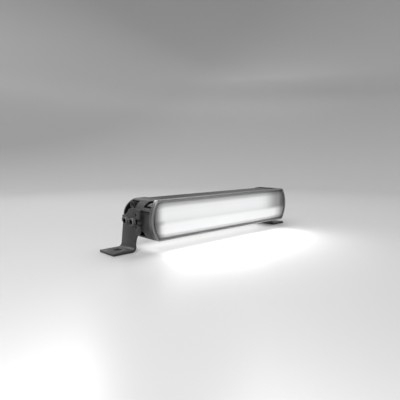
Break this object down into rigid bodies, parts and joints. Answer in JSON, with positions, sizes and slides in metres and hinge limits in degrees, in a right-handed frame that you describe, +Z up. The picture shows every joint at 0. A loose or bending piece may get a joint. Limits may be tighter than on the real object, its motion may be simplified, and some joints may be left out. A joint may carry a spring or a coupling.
{
  "type": "led light bar",
  "caption": "Rectangular vehicle light bar with a frosted lit front, dark frame, finned round-backed aluminium body and cast end caps, tilting between bent steel foot brackets.",
  "frame": {"origin": "on the mounting surface, under the middle of the bar: the centre of the bottom of the bounding box", "axes": "+X along the bar, +Y from the lit front to the finned back, +Z up from the mounting surface"},
  "size_m": [0.38, 0.0746, 0.073],
  "materials": {
    "body": "extruded aluminium, dark grey anodised, fine lengthwise grain, satin",
    "cap": "die-cast aluminium, dark grey powder coat, fine texture",
    "frame": "moulded plastic, dark grey, semi-gloss",
    "lens": "frosted polycarbonate, lit white from behind, dark painted edge",
    "bracket": "bent sheet steel, dark grey powder coat, satin",
    "screw": "socket-head screw, blackened steel with bright rim",
    "rubber": "silicone rubber, black, matt",
    "mirror": "moulded plastic with a bright metallised face",
    "board": "aluminium-core circuit board with white mask",
    "pad": "soft heat-conducting pad, grey",
    "driver": "glass-fibre circuit board with black components",
    "plastic": "moulded nylon, black, matt"
  },
  "bodies": {
    "brackets": {"bracket_left": "bracket", "bracket_right": "bracket", "pivot_screw_left": "screw", "pivot_screw_right": "screw", "pivot_washer_left": "screw", "pivot_washer_right": "screw", "clamp_screw_left": "screw", "clamp_screw_right": "screw", "clamp_washer_left": "screw", "clamp_washer_right": "screw", "clamp_nut_left": "screw", "clamp_nut_right": "screw"},
    "lamp": {"housing": "body", "front_frame": "frame", "lens": "lens", "lens_seal": "rubber", "thermal_pad": "pad", "driver_board": "driver", "gland_body": "plastic", "gland_seal": "rubber", "gland_dome_nut": "plastic", "gland_lock_nut": "plastic", "vent_plug": "plastic", "reflector_upper": "mirror", "reflector_lower": "mirror", "led_board_upper": "board", "led_board_lower": "board", "end_cap_left": "cap", "end_cap_right": "cap", "end_gasket_left": "rubber", "end_gasket_right": "rubber", "cap_screw_upper_left": "screw", "cap_screw_upper_right": "screw", "cap_screw_lower_left": "screw", "cap_screw_lower_right": "screw"}
  },
  "joints": [
    {"name": "tilt", "type": "hinge", "parent": "brackets", "child": "lamp", "pos_m": [0, -0.00225, 0.0418], "axis": [-1, 0, 0], "range_deg": [-25, 30]}
  ]
}
